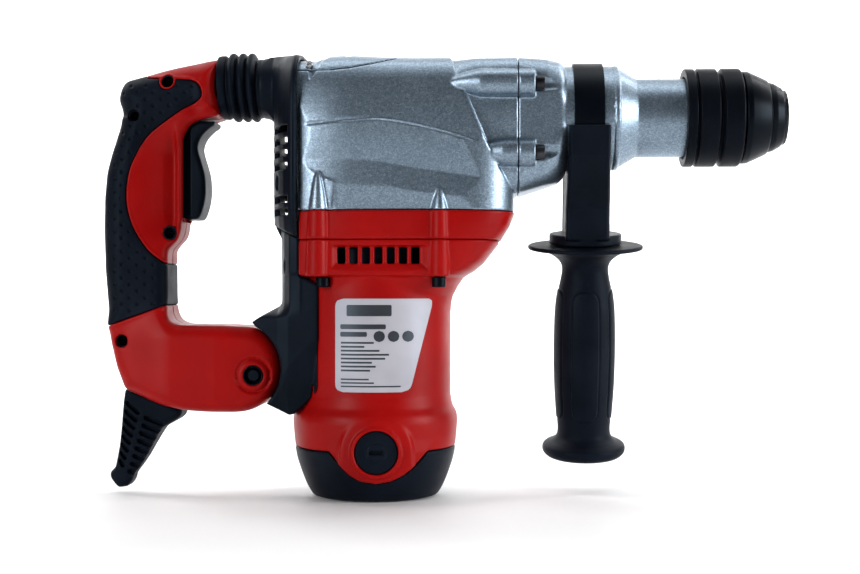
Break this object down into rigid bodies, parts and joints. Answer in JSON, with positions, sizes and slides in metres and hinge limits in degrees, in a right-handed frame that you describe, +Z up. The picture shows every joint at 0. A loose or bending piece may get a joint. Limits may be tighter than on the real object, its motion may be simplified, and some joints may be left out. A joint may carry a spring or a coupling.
{
  "type": "rotary hammer",
  "caption": "Rotary hammer with vertical motor, sprung D-shaped rear handle, bellows, quick-release chuck and clamped side handle.",
  "frame": {"origin": "on the motor axis, at the flat underside of the motor end cap", "axes": "+X forward along the hammer axis towards the tool bit, +Z up along the motor axis, +Y to the left of the tool"},
  "size_m": [0.3783, 0.1011, 0.2462],
  "materials": {
    "silver_housing": "metallic paint with fine speckle, satin",
    "red_housing": "moulded nylon, satin",
    "black_cover": "moulded nylon, fine texture",
    "soft_rubber": "overmoulded elastomer, dimpled",
    "chuck_black": "satin black sleeve",
    "steel": "ground steel",
    "dark_steel": "blackened steel",
    "copper": "copper and brass",
    "carbon": "pressed carbon",
    "label": null
  },
  "bodies": {
    "housing": {"gear_housing": "silver_housing", "top_cover": "silver_housing", "front_housing": "silver_housing", "front_screw_right_upper": "dark_steel", "front_screw_right_lower": "dark_steel", "front_screw_left_upper": "dark_steel", "front_screw_left_lower": "dark_steel", "barrel_bearing": "steel", "barrel_seal": "soft_rubber", "intermediate_flange": "red_housing", "motor_housing": "red_housing", "motor_screw_right_rear": "black_cover", "motor_screw_right_front": "black_cover", "motor_screw_left_rear": "black_cover", "motor_screw_left_front": "black_cover", "end_cap": "black_cover", "brush_cap_right": "black_cover", "brush_cap_left": "black_cover", "brush_holder_right": "copper", "brush_holder_left": "copper", "carbon_brush_right": "carbon", "carbon_brush_left": "carbon", "stator": "copper", "lower_bearing": "steel", "upper_bearing": "steel", "rear_cover": "black_cover", "lower_bracket": "black_cover", "nameplate": "label"},
    "rear_handle": {"handle_shell_right": "red_housing", "handle_shell_left": "red_housing", "soft_grip": "soft_rubber", "switch_body": "black_cover", "pivot_bolt": "dark_steel", "strain_relief": "soft_rubber", "bellows": "soft_rubber"},
    "trigger": {"trigger": "black_cover"},
    "side_handle": {"clamp_band": "dark_steel", "clamp_block": "chuck_black", "clamp_bolt": "dark_steel"},
    "side_grip": {"side_grip": "soft_rubber"},
    "mode_selector": {"mode_selector": "black_cover"},
    "armature": {"armature_shaft": "steel", "armature_core": "dark_steel", "commutator": "copper", "cooling_fan": "black_cover"},
    "crank": {"crankshaft": "steel", "crank_gear": "steel"},
    "countershaft": {"countershaft": "steel", "countershaft_gear": "steel", "bevel_pinion": "steel"},
    "spindle": {"spindle_tube": "steel", "bevel_gear": "steel", "tool_holder": "dark_steel", "dust_cap": "soft_rubber"},
    "chuck_sleeve": {"chuck_sleeve": "chuck_black"},
    "piston": {"piston": "steel"},
    "connecting_rod": {"connecting_rod": "steel"},
    "striker": {"striker": "steel"},
    "impact_bolt": {"impact_bolt": "steel"}
  },
  "joints": [
    {"name": "handle_pivot", "type": "hinge", "parent": "housing", "child": "rear_handle", "pos_m": [-0.0654, 0, 0.0666], "axis": [0, 1, 0], "range_deg": [0, 1.2], "stiffness_Nm_per_rad": 900, "deforming": ["bellows"]},
    {"name": "trigger_pull", "type": "slide", "parent": "rear_handle", "child": "trigger", "axis": [-1, 0, 0], "range_m": [0, 0.006], "stiffness_N_per_m": 900, "springref_m": -0.004},
    {"name": "side_handle_swing", "type": "hinge", "parent": "housing", "child": "side_handle", "pos_m": [0.1175, 0, 0.2085], "axis": [1, 0, 0], "continuous": true},
    {"name": "side_grip_twist", "type": "hinge", "parent": "side_handle", "child": "side_grip", "pos_m": [0.1175, 0.0167, 0.08967], "axis": [0, -0.1392, 0.9903], "continuous": true},
    {"name": "mode_turn", "type": "hinge", "parent": "housing", "child": "mode_selector", "pos_m": [0.01, 0.045, 0.19], "axis": [0, 1, 0], "range_deg": [0, 180]},
    {"name": "motor_spin", "type": "hinge", "parent": "housing", "child": "armature", "pos_m": [0, 0, 0.06], "axis": [0, 0, 1], "continuous": true},
    {"name": "crank_spin", "type": "hinge", "parent": "housing", "child": "crank", "pos_m": [0.022, 0, 0.17], "axis": [0, 0, 1], "continuous": true},
    {"name": "countershaft_spin", "type": "hinge", "parent": "housing", "child": "countershaft", "pos_m": [0.057, 0, 0.17], "axis": [0, 0, 1], "continuous": true},
    {"name": "spindle_spin", "type": "hinge", "parent": "housing", "child": "spindle", "pos_m": [0.15, 0, 0.2085], "axis": [1, 0, 0], "continuous": true},
    {"name": "sleeve_pull", "type": "slide", "parent": "spindle", "child": "chuck_sleeve", "axis": [-1, 0, 0], "range_m": [0, 0.008], "stiffness_N_per_m": 1200, "springref_m": -0.003},
    {"name": "piston_stroke", "type": "slide", "parent": "housing", "child": "piston", "axis": [-1, 0, 0], "range_m": [0, 0.022]},
    {"name": "rod_swing", "type": "hinge", "parent": "piston", "child": "connecting_rod", "pos_m": [0.064, 0, 0.2085], "axis": [0, 0, 1], "range_deg": [-20, 20]},
    {"name": "striker_travel", "type": "slide", "parent": "housing", "child": "striker", "axis": [1, 0, 0], "range_m": [-0.008, 0.004]},
    {"name": "impact_bolt_travel", "type": "slide", "parent": "housing", "child": "impact_bolt", "axis": [1, 0, 0], "range_m": [0, 0.003]}
  ],
  "couplings": [
    {"joint": "crank_spin", "follows": "motor_spin", "ratio": -0.2},
    {"joint": "countershaft_spin", "follows": "motor_spin", "ratio": 0.21429},
    {"joint": "spindle_spin", "follows": "motor_spin", "ratio": 0.057143}
  ]
}
